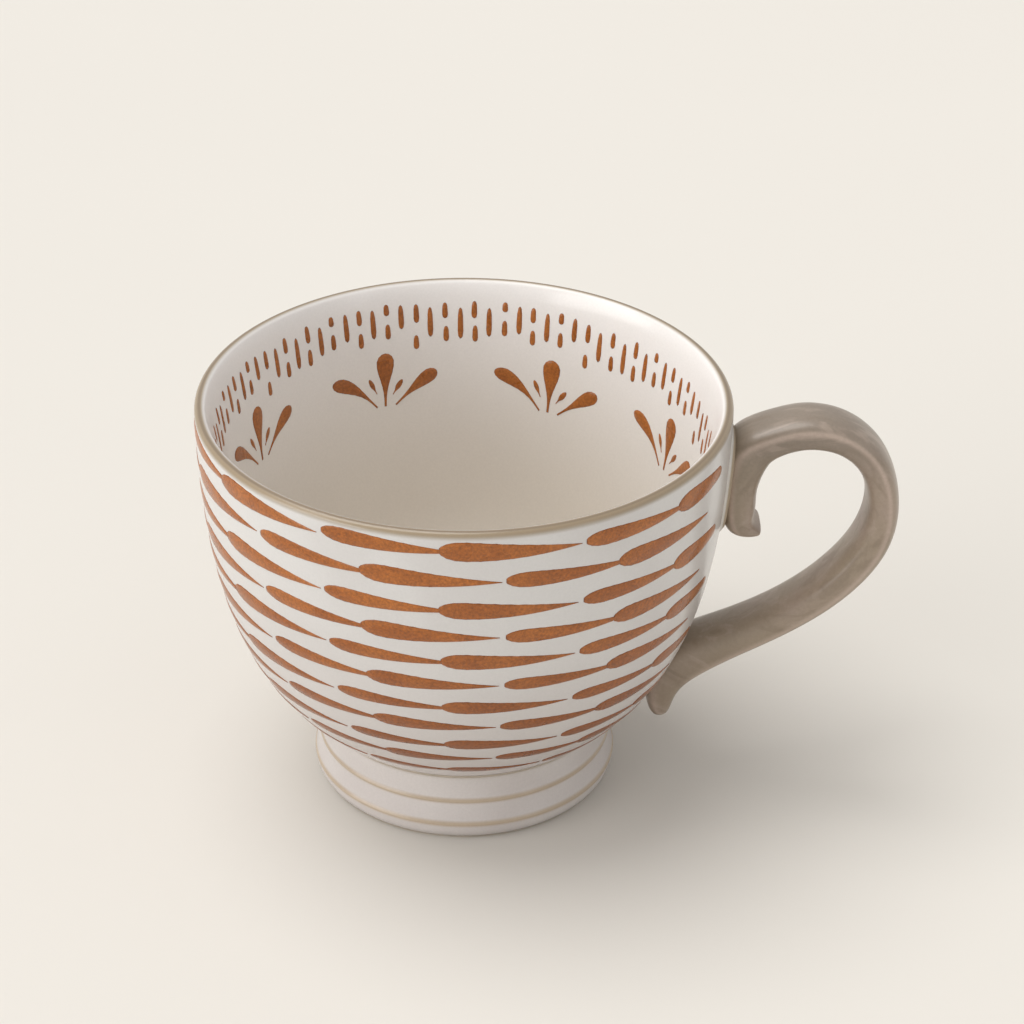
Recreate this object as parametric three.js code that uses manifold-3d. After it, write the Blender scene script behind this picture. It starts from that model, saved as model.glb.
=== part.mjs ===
// A footed stoneware mug, millimetres, +Z up, handle along +X.
// It is built the way a potter builds it: a bowl, a pedestal foot and a moulded handle, each made on its
// own and luted on with a thin layer of slip that squeezes out a little around the joint.
// The origin is the middle of the whole mug's box, on the table, so the bowl's axis sits at AXIS_X.
import * as THREE from 'three';
import { mergeVertices } from 'three/addons/utils/BufferGeometryUtils.js';
import Module from 'manifold-3d';

const wasm = await Module();
wasm.setup();

// Driving sizes
const RIM_RADIUS = 50.05; // outside of the lip
const RIM_HEIGHT = 80.5; // top of the lip above the table
const LIP_RADIUS = 1.1; // round top edge of the wall
const WALL_AT_RIM = 2.3;
const WALL_AT_BASE = 4.4;
const RIM_TAPER = 18; // how quickly the wall thins near the rim; a higher power keeps it even for longer
const WAIST_RADIUS = 28.0; // where the bowl meets the foot
const WAIST_HEIGHT = 14.3;
const UNDERSIDE_HEIGHT = 9.0; // the bowl's flat underside, inside the foot
const UNDERSIDE_FLAT_RADIUS = 14.0;
const FLOOR_HEIGHT = 13.4; // inside floor of the bowl
const FLOOR_FLAT_RADIUS = 12.0;

const FOOT_STAND_INNER = 25.0; // the flat ring that the mug stands on
const FOOT_STAND_OUTER = 27.4;
const FOOT_FLARE_RADIUS = 29.2; // widest place, just above the table
const FOOT_FLARE_HEIGHT = 3.4;
const FOOT_NECK_RADIUS = 27.9;
const FOOT_NECK_HEIGHT = 10.4;
const FOOT_RECESS_RADIUS = 22.4; // the hollow under the bowl

const HANDLE_REACH = 82.3; // bowl axis to the outermost point of the loop
const HANDLE_WIDTH = 12.0;
const HANDLE_EDGE_ROUNDING = 1.1; // how far the side faces are set in by the rounded edges
const HANDLE_EDGE_DEPTH = 2.6; // how much of the width the rounded edges take, on each side

const GAP = 0.3; // clearance between one piece and the next
const SLIP = 0.8; // thickness of the slip layer
const SLIP_OVERHANG = 0.8; // how far the slip shows around a handle root
const SLIP_CORNER = 4.5; // corner radius of the slip around a handle root
const SEGMENTS = 64; // facets around the bowl

const AXIS_X = (RIM_RADIUS - HANDLE_REACH) / 2;

// Outline helpers. Points are (radius, height).
const point = (radius, height) => new THREE.Vector2(radius, height);

function sideways(points, index) {
  // unit normal on the right-hand side of an outline, from the neighbouring points
  const before = points[Math.max(index - 1, 0)];
  const after = points[Math.min(index + 1, points.length - 1)];
  const along = after.clone().sub(before).normalize();
  return point(along.y, -along.x);
}

function offsetOutline(points, distanceAt) {
  return points.map((here, index) => {
    const share = index / (points.length - 1);
    return here.clone().addScaledVector(sideways(points, index), distanceAt(share));
  });
}

// The bowl's outside runs from the flat underside, round the waist and up to the lip.
const underside = new THREE.QuadraticBezierCurve(
  point(UNDERSIDE_FLAT_RADIUS, UNDERSIDE_HEIGHT),
  point(21.4, UNDERSIDE_HEIGHT),
  point(WAIST_RADIUS, WAIST_HEIGHT),
).getPoints(5);
const bowlSide = new THREE.CubicBezierCurve(
  point(WAIST_RADIUS, WAIST_HEIGHT),
  point(40.6, 24.4),
  point(49.3, 37.9),
  point(RIM_RADIUS, RIM_HEIGHT - LIP_RADIUS),
).getPoints(14);
const bowlOutside = [...underside, ...bowlSide.slice(1)];

function lipPoints() {
  const points = [];
  const steps = 6;
  for (let step = 1; step < steps; step += 1) {
    const turn = (Math.PI * step) / steps;
    const radius = RIM_RADIUS - LIP_RADIUS + LIP_RADIUS * Math.cos(turn);
    points.push(point(radius, RIM_HEIGHT - LIP_RADIUS + LIP_RADIUS * Math.sin(turn)));
  }
  return points;
}

function bowlProfile() {
  const wall = (share) => -(WALL_AT_BASE + (WALL_AT_RIM - WALL_AT_BASE) * share ** RIM_TAPER);
  const floorEdge = 3; // the inside starts above the waist, so that the floor can run in flat
  const inside = offsetOutline(bowlSide, wall).slice(floorEdge).reverse();
  const lowest = inside[inside.length - 1];
  const floor = new THREE.QuadraticBezierCurve(
    lowest,
    point(22.5, FLOOR_HEIGHT + 0.4),
    point(FLOOR_FLAT_RADIUS, FLOOR_HEIGHT),
  ).getPoints(3).slice(1);
  return [
    point(0, UNDERSIDE_HEIGHT),
    ...bowlOutside,
    ...lipPoints(),
    ...inside,
    ...floor,
    point(0, FLOOR_HEIGHT),
  ];
}

// The joint face under the bowl, where the foot is luted on.
function jointFace(distance) {
  const face = underside.filter((here) => here.x > FOOT_RECESS_RADIUS - 2);
  return offsetOutline(face, () => distance);
}

function footProfile() {
  const outside = new THREE.SplineCurve([
    point(FOOT_STAND_OUTER, 0),
    point(FOOT_FLARE_RADIUS - 0.35, 1.3),
    point(FOOT_FLARE_RADIUS, FOOT_FLARE_HEIGHT),
    point(28.25, 7.6),
    point(FOOT_NECK_RADIUS, FOOT_NECK_HEIGHT),
  ]).getPoints(10);
  const top = jointFace(2 * GAP + SLIP).reverse();
  return [
    point(FOOT_STAND_INNER, 0),
    ...outside,
    ...top,
    point(FOOT_RECESS_RADIUS + 0.6, 5.0),
    point(FOOT_STAND_INNER - 0.8, 1.4),
    point(FOOT_STAND_INNER, 0),
  ];
}

function footSlipProfile() {
  const lower = jointFace(GAP + SLIP);
  const upper = jointFace(GAP).reverse();
  return [...lower, ...upper, lower[0].clone()];
}

// Solids
function lathe(profile) {
  const geometry = new THREE.LatheGeometry(profile, SEGMENTS);
  geometry.rotateX(Math.PI / 2);
  return geometry;
}

function toManifold(geometry) {
  const bare = new THREE.BufferGeometry();
  bare.setAttribute('position', geometry.getAttribute('position'));
  if (geometry.index) bare.setIndex(geometry.index);
  const merged = mergeVertices(bare, 1e-4);
  const triangles = [];
  const order = merged.index.array;
  for (let i = 0; i < order.length; i += 3) {
    const [a, b, c] = [order[i], order[i + 1], order[i + 2]];
    if (a !== b && b !== c && c !== a) triangles.push(a, b, c);
  }
  return new wasm.Manifold(new wasm.Mesh({
    numProp: 3,
    vertProperties: new Float32Array(merged.getAttribute('position').array),
    triVerts: new Uint32Array(triangles),
  }));
}

function toGeometry(solid) {
  const mesh = solid.getMesh();
  const geometry = new THREE.BufferGeometry();
  geometry.setAttribute('position', new THREE.BufferAttribute(mesh.vertProperties, 3));
  geometry.setIndex(new THREE.BufferAttribute(mesh.triVerts, 1));
  geometry.computeVertexNormals();
  return geometry;
}

// A plug of the bowl's outside, swollen by a distance: what sits on the wall is cut with it.
function swollenBowl(distance) {
  const swollen = offsetOutline(bowlOutside, () => distance);
  const top = RIM_HEIGHT + 5;
  const last = swollen[swollen.length - 1];
  return toManifold(lathe([
    point(0, swollen[0].y),
    ...swollen,
    point(last.x, top),
    point(0, top),
  ]));
}

// The handle's side outline: out from the wall, over the crown, round the loop, down the arm to the
// tail, then back along the inside of the loop to the small spur that points down the wall.
function handleOutline() {
  const outline = new THREE.Shape();
  outline.moveTo(42, 70.4);
  outline.lineTo(49.6, 73.2);
  outline.bezierCurveTo(53.5, 75.4, 58.5, 78.0, 64.2, 78.0);
  outline.bezierCurveTo(75.5, 78.0, HANDLE_REACH, 68.5, HANDLE_REACH, 57.6);
  outline.bezierCurveTo(HANDLE_REACH, 39.5, 63.5, 31.6, 48.9, 23.1);
  outline.bezierCurveTo(43.8, 20.2, 41.6, 17.9, 40.6, 14.2);
  outline.bezierCurveTo(39.9, 10.4, 36.2, 10.4, 35.3, 14.4);
  outline.lineTo(33.6, 19.4);
  outline.lineTo(33.6, 27.4);
  outline.lineTo(41.0, 29.2);
  outline.bezierCurveTo(54.5, 32.4, 75.9, 42.5, 75.8, 58.6);
  outline.bezierCurveTo(75.7, 66.0, 71.4, 70.9, 65.2, 70.9);
  outline.bezierCurveTo(57.2, 70.9, 53.4, 65.0, 55.8, 55.2);
  outline.bezierCurveTo(56.8, 51.2, 53.6, 51.3, 51.6, 53.0);
  outline.lineTo(42, 54.2);
  outline.closePath();
  return outline;
}

function handleCasting() {
  const geometry = new THREE.ExtrudeGeometry(handleOutline(), {
    depth: HANDLE_WIDTH - 2 * HANDLE_EDGE_DEPTH,
    curveSegments: 10,
    bevelEnabled: true,
    bevelThickness: HANDLE_EDGE_DEPTH,
    bevelSize: HANDLE_EDGE_ROUNDING,
    bevelOffset: -HANDLE_EDGE_ROUNDING,
    bevelSegments: 3,
  });
  geometry.rotateX(Math.PI / 2);
  geometry.translate(0, (HANDLE_WIDTH - 2 * HANDLE_EDGE_DEPTH) / 2, 0);
  return toManifold(geometry);
}

function handleSolid() {
  return handleCasting().subtract(swollenBowl(2 * GAP + SLIP));
}

// A pad of slip on the wall: a rounded oblong, pushed along X through the wall's slip layer.
function slipPad(lowest, highest) {
  const half = HANDLE_WIDTH / 2 + SLIP_OVERHANG;
  const bottom = lowest - SLIP_OVERHANG;
  const top = highest + SLIP_OVERHANG;
  const corner = SLIP_CORNER;
  const oblong = new THREE.Shape();
  oblong.moveTo(-half, top - corner);
  oblong.absarc(corner - half, bottom + corner, corner, Math.PI, 1.5 * Math.PI, false);
  oblong.absarc(half - corner, bottom + corner, corner, 1.5 * Math.PI, 2 * Math.PI, false);
  oblong.absarc(half - corner, top - corner, corner, 0, 0.5 * Math.PI, false);
  oblong.absarc(corner - half, top - corner, corner, 0.5 * Math.PI, Math.PI, false);
  const geometry = new THREE.ExtrudeGeometry(oblong, { depth: 60, curveSegments: 6, bevelEnabled: false });
  const acrossThenUp = new THREE.Matrix4().makeBasis(
    new THREE.Vector3(0, 1, 0),
    new THREE.Vector3(0, 0, 1),
    new THREE.Vector3(1, 0, 0),
  );
  geometry.applyMatrix4(acrossThenUp);
  return toManifold(geometry)
    .intersect(swollenBowl(GAP + SLIP))
    .subtract(swollenBowl(GAP));
}

// Materials
function clay(colour, roughness) {
  return new THREE.MeshStandardMaterial({ color: colour, roughness, metalness: 0 });
}
const creamGlaze = clay(0xe3ded4, 0.22);
const footGlaze = clay(0xe4d8d2, 0.28);
const greigeGlaze = clay(0x96887a, 0.3);
const slipGlaze = clay(0xcfc6b6, 0.4);

// Assembly
const mug = new THREE.Group();
mug.position.set(AXIS_X, 0, 0);

function addPiece(name, geometry, material) {
  const mesh = new THREE.Mesh(geometry, material);
  mesh.name = name;
  mug.add(mesh);
}

addPiece('bowl', lathe(bowlProfile()), creamGlaze);
addPiece('pedestal_foot', lathe(footProfile()), footGlaze);
addPiece('foot_slip', lathe(footSlipProfile()), slipGlaze);
addPiece('handle', toGeometry(handleSolid()), greigeGlaze);
addPiece('upper_handle_slip', toGeometry(slipPad(54.2, 73.2)), slipGlaze);
addPiece('lower_handle_slip', toGeometry(slipPad(18.6, 29.6)), slipGlaze);

export default mug;
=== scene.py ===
# %% [markdown]
# # A footed stoneware mug
# The mug is three clay pieces luted together with slip: a thrown bowl, a low turned foot and a
# pulled handle. Rust-brown marks are brushed on it outside and in, under a clear glossy glaze.
# The imported model is the fixed frame. It gives the axis and the size of the rim, so it is loaded first.

# %% Load the frame
import bisect
import math
import random

import bpy
from mathutils import Matrix, Vector


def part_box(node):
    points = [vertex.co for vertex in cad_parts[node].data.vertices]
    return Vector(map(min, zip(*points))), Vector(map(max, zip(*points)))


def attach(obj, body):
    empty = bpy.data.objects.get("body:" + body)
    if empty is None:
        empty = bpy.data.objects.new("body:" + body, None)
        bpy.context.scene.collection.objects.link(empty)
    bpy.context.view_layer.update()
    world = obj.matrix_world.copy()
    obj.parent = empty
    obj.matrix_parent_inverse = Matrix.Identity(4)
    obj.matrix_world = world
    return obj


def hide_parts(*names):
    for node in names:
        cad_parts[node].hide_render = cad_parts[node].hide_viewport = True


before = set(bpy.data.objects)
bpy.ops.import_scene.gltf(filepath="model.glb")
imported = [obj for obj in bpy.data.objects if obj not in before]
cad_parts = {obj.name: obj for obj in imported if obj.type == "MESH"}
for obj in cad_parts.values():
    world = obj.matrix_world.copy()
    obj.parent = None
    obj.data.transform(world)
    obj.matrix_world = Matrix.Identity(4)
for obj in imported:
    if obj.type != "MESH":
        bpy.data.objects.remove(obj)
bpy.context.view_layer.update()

# %% [markdown]
# ## Sizes
# A mug is round about one upright axis, so nearly every place on it can be told by two numbers:
# how far it is from that axis, and how high it is. All sizes below are millimetres, and MM turns
# them into Blender's metres. The rim's radius and height come from the frame's own bowl.

# %% Axis, rim and table of sizes
MM = 0.001
bowl_low, bowl_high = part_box("bowl")
AXIS_X = (bowl_low.x + bowl_high.x) / 2 / MM
RIM_RADIUS = (bowl_high.x - bowl_low.x) / 2 / MM
RIM_HEIGHT = bowl_high.z / MM
LIP_RADIUS = 1.1
WALL_AT_RIM = 2.3
WALL_AT_BASE = 4.4
RIM_TAPER = 18  # how quickly the wall thins near the rim; a higher power keeps it even for longer
WAIST = (28.0, 14.3)
AROUND = 192
print(f"axis at x {AXIS_X:.2f} mm, rim radius {RIM_RADIUS:.2f}, rim height {RIM_HEIGHT:.2f}")


# %% [markdown]
# ## Two ways of making clay pieces
# The bowl and foot are thrown on a wheel: a ring is pulled up and its radius changed as it rises.
# In Blender that is a circle, extruded a little at a time and scaled about the axis after each
# step. The handle and the brush marks are drawn out: a small section is pulled along a line and
# made wider or narrower as it goes. Both use the same two operators, extrude and resize.

# %% Helpers: throw a round piece, draw out a long piece
def clear_selection():
    """Leaves edit mode and deselects everything, so that the next operator acts on one piece."""
    if bpy.context.object and bpy.context.object.mode != "OBJECT":
        bpy.ops.object.mode_set(mode="OBJECT")
    bpy.ops.object.select_all(action="DESELECT")


def select_only(piece):
    clear_selection()
    piece.select_set(True)
    bpy.context.view_layer.objects.active = piece


def close_and_smooth(piece, merge=0.0):
    """Merges doubled corners, turns every face outwards and puts the place in the mesh."""
    select_only(piece)
    bpy.ops.object.mode_set(mode="EDIT")
    bpy.ops.mesh.select_all(action="SELECT")
    if merge:
        bpy.ops.mesh.remove_doubles(threshold=merge * MM)
    bpy.ops.mesh.normals_make_consistent(inside=False)
    bpy.ops.object.mode_set(mode="OBJECT")
    bpy.ops.object.transform_apply(location=True, rotation=True, scale=True)
    bpy.ops.object.shade_smooth()


def throw(name, outline, ring=False):
    """Throws a round piece from an outline of (radius, height). A ring joins end to start."""
    clear_selection()
    radius, height = outline[0]
    bpy.ops.mesh.primitive_circle_add(
        vertices=AROUND, radius=radius * MM, fill_type="NOTHING" if ring else "TRIFAN",
        location=(AXIS_X * MM, 0, height * MM))
    piece = bpy.context.object
    piece.name = name
    bpy.ops.object.mode_set(mode="EDIT")
    for next_radius, next_height in outline[1:]:
        rise = (next_height - height) * MM
        bpy.ops.mesh.extrude_region_move(TRANSFORM_OT_translate={"value": (0, 0, rise)})
        grow = next_radius / radius
        bpy.ops.transform.resize(
            value=(grow, grow, 1), center_override=(AXIS_X * MM, 0, next_height * MM))
        radius, height = next_radius, next_height
    close_and_smooth(piece, merge=0.002 if ring else 0.0)
    print(f"{name}: {len(outline)} rings, {len(piece.data.polygons)} faces")
    return piece


def draw_out(name, section, stations):
    """Pulls a closed section along X. A station is (distance, half width, shift, thickness)."""
    clear_selection()
    distance, half_width, shift, thickness = stations[0]
    bpy.ops.mesh.primitive_circle_add(vertices=len(section), radius=MM, fill_type="NGON")
    piece = bpy.context.object
    piece.name = name
    for corner, (across, up) in zip(piece.data.vertices, section):
        corner.co = Vector((distance, across * half_width + shift, up * thickness)) * MM
    bpy.ops.object.mode_set(mode="EDIT")
    for next_distance, next_half, next_shift, next_thickness in stations[1:]:
        step = Vector((next_distance - distance, next_shift - shift, 0)) * MM
        bpy.ops.mesh.extrude_region_move(TRANSFORM_OT_translate={"value": step})
        bpy.ops.transform.resize(
            value=(1, next_half / half_width, next_thickness / thickness),
            center_override=Vector((next_distance, next_shift, 0)) * MM)
        distance, half_width = next_distance, next_half
        shift, thickness = next_shift, next_thickness
    close_and_smooth(piece)
    return piece


# %% [markdown]
# ## The bowl
# The wall rises from the waist in one long curve and ends nearly upright at the rim. It keeps its
# thickness nearly all the way up and then thins quickly to a fine lip, so the inside is the
# outside moved in by a thickness that changes.
# The outline is worked out first, and then thrown in one go: up the outside, over the lip and
# down the inside to the floor.

# %% Outline of the bowl
def curve_point(points, share):
    """A point on the smooth curve from the first point to the last, pulled by those between."""
    row = [Vector(p) for p in points]
    while len(row) > 1:
        row = [a.lerp(b, share) for a, b in zip(row, row[1:])]
    return row[0]


def curve(points, steps):
    return [curve_point(points, step / steps) for step in range(steps + 1)]


def moved_sideways(outline, distance_at):
    """The outline moved to its left by a distance that depends on the share of the way along."""
    moved = []
    for index, here in enumerate(outline):
        before = outline[max(index - 1, 0)]
        after = outline[min(index + 1, len(outline) - 1)]
        along = (after - before).normalized()
        left = Vector((-along.y, along.x))
        moved.append(here + left * distance_at(index / (len(outline) - 1)))
    return moved


SIDE_STEPS = 56
LIP_STEPS = 12
FLOOR_START = 12  # the inside wall turns into the floor this many steps above the waist
underside = curve([(14, 9), (21.4, 9), WAIST], 8)
outer_side = curve([WAIST, (40.6, 24.4), (49.3, 37.9), (RIM_RADIUS, RIM_HEIGHT - LIP_RADIUS)], SIDE_STEPS)
inner_side = moved_sideways(
    outer_side, lambda up: WALL_AT_BASE + (WALL_AT_RIM - WALL_AT_BASE) * up ** RIM_TAPER)
lip = []
for step in range(1, LIP_STEPS):
    turn = math.pi * step / LIP_STEPS
    lip.append(Vector((RIM_RADIUS - LIP_RADIUS + LIP_RADIUS * math.cos(turn),
                       RIM_HEIGHT - LIP_RADIUS + LIP_RADIUS * math.sin(turn))))
going_down = list(reversed(inner_side[FLOOR_START:]))
floor_curve = curve([going_down[-1], (22.5, 13.8), (12, 13.4)], 12)[1:]
bowl_outline = [Vector((4, 9))] + underside + outer_side[1:] + lip + going_down + floor_curve
bowl_outline += [Vector((4, 13.3))]
print("bowl outline:", len(bowl_outline), "points")

# %% Throw the bowl
bowl = throw("mug_bowl", bowl_outline)

# %% [markdown]
# ## The foot
# The foot is a low ring that flares to the table. Two fine raised lines run round it, where the
# glaze runs thin and the tan clay shows. The lines are real ridges in the outline, a fifth of a
# millimetre high, so that they catch the light from every side.

# %% Throw the foot and the slip ring above it
FOOT_LINES = (8.7, 4.0)
LINE_HEIGHT = 0.2
LINE_SPREAD = 0.32


def foot_radius(height):
    """Outside of the foot: rounded at the table, widest just above it, then drawn in."""
    corners = [(0, 26.9), (0.35, 27.6), (1.0, 28.3), (2.0, 28.9), (3.4, 29.2), (5.0, 28.85),
               (7.6, 28.25), (10.4, 27.9), (13.9, 27.9)]
    spot = max(bisect.bisect_right(corners, (height, 99)) - 1, 0)
    low = corners[min(spot, len(corners) - 2)]
    high = corners[min(spot, len(corners) - 2) + 1]
    share = (height - low[0]) / (high[0] - low[0])
    ridge = sum(math.exp(-((height - line) / LINE_SPREAD) ** 2) for line in FOOT_LINES)
    return low[1] + (high[1] - low[1]) * share + LINE_HEIGHT * ridge


foot_steps = [0, 0.12, 0.35, 0.65, 1.0, 1.5, 2.0, 2.6, 3.0]
foot_steps += [3.3 + 0.13 * step for step in range(13)] + [5.4, 6.2, 7.0, 7.6]
foot_steps += [7.9 + 0.13 * step for step in range(13)] + [9.8, 10.4, 11.6, 12.8, 13.9, 14.3]
foot_outline = [Vector((foot_radius(height), height)) for height in foot_steps]
foot_outline += [Vector(p) for p in [(27.2, 14.4), (24.5, 12.2), (22.4, 10.9), (22.3, 9.6), (22.6, 6.5),
                                     (23.3, 3.2), (24.2, 1.2), (24.9, 0.3), (25.5, 0.0), (26.9, 0.0)]]
foot = throw("mug_foot", foot_outline, ring=True)
slip_ring = throw("waist_slip_ring", [Vector(p) for p in [
    (27.3, 13.6), (27.95, 13.9), (28.12, 14.15), (28.42, 14.45), (28.72, 14.75), (28.82, 14.9),
    (28.2, 14.9), (27.3, 14.4), (27.3, 13.6)]], ring=True)
# Painted shade: the waist ring is marked so that the slip material paints it darker, as the shade in the
# crease between bowl and foot.
ring_crease_shade = slip_ring.data.attributes.new("edge", "FLOAT", "POINT")
for value in ring_crease_shade.data:
    value.value = 0.85

# %% [markdown]
# ## The handle
# A potter pulls a strap of clay, lays it down in a curve and lets it stiffen before it is joined
# on. It is made the same way here. A straight strap is drawn out first, thick where it needs to
# be. A curve is drawn flat, the strap is bent along it with a Curve modifier, and the bent strap
# is then stood up against the bowl. The strap starts as a small spur that points down the wall,
# climbs, goes over the crown and round the loop, and ends in a free tail.

# %% Draw out, bend and stand up the handle
# Each station: distance from the bowl's axis, height, thickness and width of the strap.
HANDLE_STATIONS = [
    (56.2, 53.15, 1.0, 8.6), (55.3, 53.3, 2.0, 9.6), (53.7, 53.7, 3.9, 10.4), (52.0, 54.7, 6.6, 11.0),
    (51.6, 57.2, 7.0, 11.4), (51.55, 60.0, 7.1, 11.6), (51.6, 62.4, 7.2, 11.7), (51.9, 66.1, 8.6, 11.8),
    (53.2, 69.9, 9.6, 11.8), (55.9, 71.9, 7.7, 11.8), (59.4, 73.35, 6.8, 11.8), (63.5, 74.4, 7.0, 11.8),
    (67.8, 74.0, 6.8, 11.7), (71.1, 72.8, 6.5, 11.6), (73.9, 70.9, 6.3, 11.6), (76.5, 68.0, 6.2, 11.6),
    (78.3, 64.0, 6.2, 11.6), (79.05, 59.5, 6.4, 11.6), (78.8, 54.9, 6.9, 11.6), (77.5, 50.4, 7.3, 11.6),
    (75.2, 46.3, 7.3, 11.6), (71.9, 42.2, 7.3, 11.6), (67.4, 38.0, 7.1, 11.6), (62.0, 34.2, 6.9, 11.6),
    (56.9, 31.3, 7.0, 11.6), (51.8, 28.8, 7.4, 11.6), (47.1, 26.6, 8.4, 11.6), (42.9, 24.4, 9.4, 11.6),
    (40.0, 21.6, 8.8, 11.4), (38.5, 18.4, 7.2, 11.0), (38.0, 15.6, 5.9, 10.4), (37.95, 13.4, 4.9, 9.8),
    (38.0, 12.2, 3.6, 8.8), (38.05, 11.6, 1.6, 6.6)]
CORNER_CUT = 0.42  # how much of the strap's square section is taken off at each corner


def strap_section():
    flat = 1 - CORNER_CUT
    return [(1, flat), (flat, 1), (-flat, 1), (-1, flat), (-1, -flat), (-flat, -1), (flat, -1), (1, -flat)]


strap_stations = []
travelled = 0.0
previous = Vector(HANDLE_STATIONS[0][:2])
for radius, height, thickness, width in HANDLE_STATIONS:
    travelled += (Vector((radius, height)) - previous).length
    previous = Vector((radius, height))
    strap_stations.append((travelled, thickness / 2, 0, width / 2))
handle = draw_out("mug_handle", strap_section(), strap_stations)

bend_data = bpy.data.curves.new("handle_bend", "CURVE")
bend_data.dimensions = "2D"
bend_line = bend_data.splines.new("BEZIER")
bend_line.bezier_points.add(len(HANDLE_STATIONS) - 1)
for bend_point, (radius, height, _, _) in zip(bend_line.bezier_points, HANDLE_STATIONS):
    bend_point.co = Vector((AXIS_X + radius, height, 0)) * MM
    bend_point.handle_left_type = "AUTO"
    bend_point.handle_right_type = "AUTO"
bend_line.resolution_u = 24
bend = bpy.data.objects.new("handle_bend", bend_data)
bpy.context.scene.collection.objects.link(bend)
bpy.context.view_layer.update()
stretch = bend_line.calc_length() / (travelled * MM)
print(f"handle: strap {travelled:.1f} mm long, stretched {stretch:.4f} to its curve")

select_only(handle)
handle.scale = (stretch, 1, 1)
bpy.ops.object.transform_apply(scale=True)
bending = handle.modifiers.new("bend", "CURVE")
bending.object = bend
bending.deform_axis = "POS_X"
bpy.ops.object.modifier_apply(modifier=bending.name)
smoothing = handle.modifiers.new("smooth", "SUBSURF")
smoothing.levels = 3
smoothing.render_levels = 3
bpy.ops.object.modifier_apply(modifier=smoothing.name)
bpy.data.objects.remove(bend)
handle.rotation_euler = (math.pi / 2, 0, 0)
close_and_smooth(handle)
print("handle box:", [round(v / MM, 2) for v in handle.dimensions], len(handle.data.polygons), "faces")


# %% [markdown]
# ## Wrapping flat things onto the wall
# Brush marks and the pads of slip are modelled flat and true to size, and then laid on the wall.
# Their length runs round the mug, their width runs down the wall, and their thickness stands out
# from it. For that, the wall is measured like a tape from the rim down.

# %% Measure the wall from the rim down
TAPE_START = RIM_HEIGHT - 1.0


def wall_tape(outline):
    """Takes wall points from the rim down, and returns a function: depth to place and normal."""
    lengths = [0.0]
    for a, b in zip(outline, outline[1:]):
        lengths.append(lengths[-1] + (b - a).length)

    def place(depth):
        spot = min(max(bisect.bisect_right(lengths, depth) - 1, 0), len(outline) - 2)
        share = (depth - lengths[spot]) / (lengths[spot + 1] - lengths[spot])
        along = (outline[spot + 1] - outline[spot]).normalized()
        return outline[spot].lerp(outline[spot + 1], share), Vector((-along.y, along.x))

    return place


outer_wall = wall_tape([Vector((RIM_RADIUS, TAPE_START))] + list(reversed(outer_side)))
inner_wall = wall_tape([Vector((RIM_RADIUS - WALL_AT_RIM, TAPE_START))] + going_down)
print("20 mm down the outside, the tape is at", [round(v, 1) for v in outer_wall(20)[0]])


def lay_on_wall(flat, wall, azimuth, depth, around, side, tilt, lowest_at):
    """Wraps a flat mesh. Side is 1 outside, where X runs to higher azimuth, and -1 inside.
    The whole band hangs lower by tilt towards the azimuth lowest_at."""
    for corner in flat.vertices:
        across, up, lift = corner.co / MM
        angle = math.radians(azimuth) + side * across / around
        sag = tilt * math.cos(angle - math.radians(lowest_at))
        place, normal = wall(depth + sag - up)
        out = place + normal * lift * side
        corner.co = Vector((AXIS_X + out.x * math.cos(angle), out.x * math.sin(angle), out.y)) * MM


def add_copy(template, name):
    copy = bpy.data.objects.new(name, template.data.copy())
    bpy.context.scene.collection.objects.link(copy)
    return copy


def join(name, parts):
    """Joins the parts into one piece, with its faces turned outwards."""
    select_only(parts[0])
    for part in parts:
        part.select_set(True)
    bpy.ops.object.join()
    piece = bpy.context.object
    piece.name = name
    close_and_smooth(piece)
    print(f"{name}: {len(parts)} parts, {len(piece.data.polygons)} faces")
    return piece


# %% [markdown]
# ## The brush marks outside
# Eleven rows of tear-shaped strokes run round the wall. Each row takes turns between a big stroke
# and a smaller one, whose tail runs into the next big head. The rows stop at a plain strip beside
# the handle. A stroke is a thin raised body of pigment with a sloping edge, so it is modelled as
# one. One stroke of each kind is drawn out, then copied along the rows. The pigment is darker
# where it pools at the edge, so an attribute called edge marks those corners.

# %% One stroke
STROKE_TURN = 29.5  # how far round the mug a whole stroke reaches, in degrees
STROKE_LENGTH = math.radians(STROKE_TURN) * RIM_RADIUS
HEAD_SHARE = 0.17  # share of the length that the round head takes
HEAD_BLUNTNESS = 0.006
TAPER_START = 0.2  # share of the length where the taper starts
TAPER_POWER = 1.45
TIP_NARROWING = 0.97
TAIL_DROOP = 0.25
CUT_END = 0.05  # share of the length over which a stroke that ends early is rounded off
THINNEST_HALF = 0.07  # half the width of a stroke's point
STROKE_END_RELIEF = 0.6  # how much of its thickness a stroke keeps at its two ends
STROKE_STEPS = 14
# Across a mark: a low crown with sloping shoulders, whose borders and keel lie in the glaze.
MARK_SECTION = [(-1, -0.05), (-0.8, 0.08), (0, 0.12), (0.8, 0.08), (1, -0.05), (0, -0.22)]


def brush_width(share):
    """Width of a stroke at a share of its length: a round head, then a long taper to a point."""
    head = min(share / HEAD_SHARE, 1)
    body = max(share - TAPER_START, 0) / (1 - TAPER_START)
    return math.sqrt(1 - (1 - head) ** 2) * (1 - TIP_NARROWING * body ** TAPER_POWER)


def rounded_end(distance):
    """Narrows a stroke that ends early, over its last little stretch."""
    near = min(distance / CUT_END, 1)
    return math.sqrt(1 - (1 - near) ** 2)


def mark_edges(piece):
    """Marks the border and both ends of a flat mark, where the pigment pools darker."""
    ends = [corner.co.x for corner in piece.data.vertices]
    first, last = min(ends), max(ends)
    edge = piece.data.attributes.new("edge", "FLOAT", "POINT")
    for corner, value in zip(piece.data.vertices, edge.data):
        at_end = corner.co.x in (first, last)
        value.value = 1.0 if at_end or corner.co.z < 0 else 0.0


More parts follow.
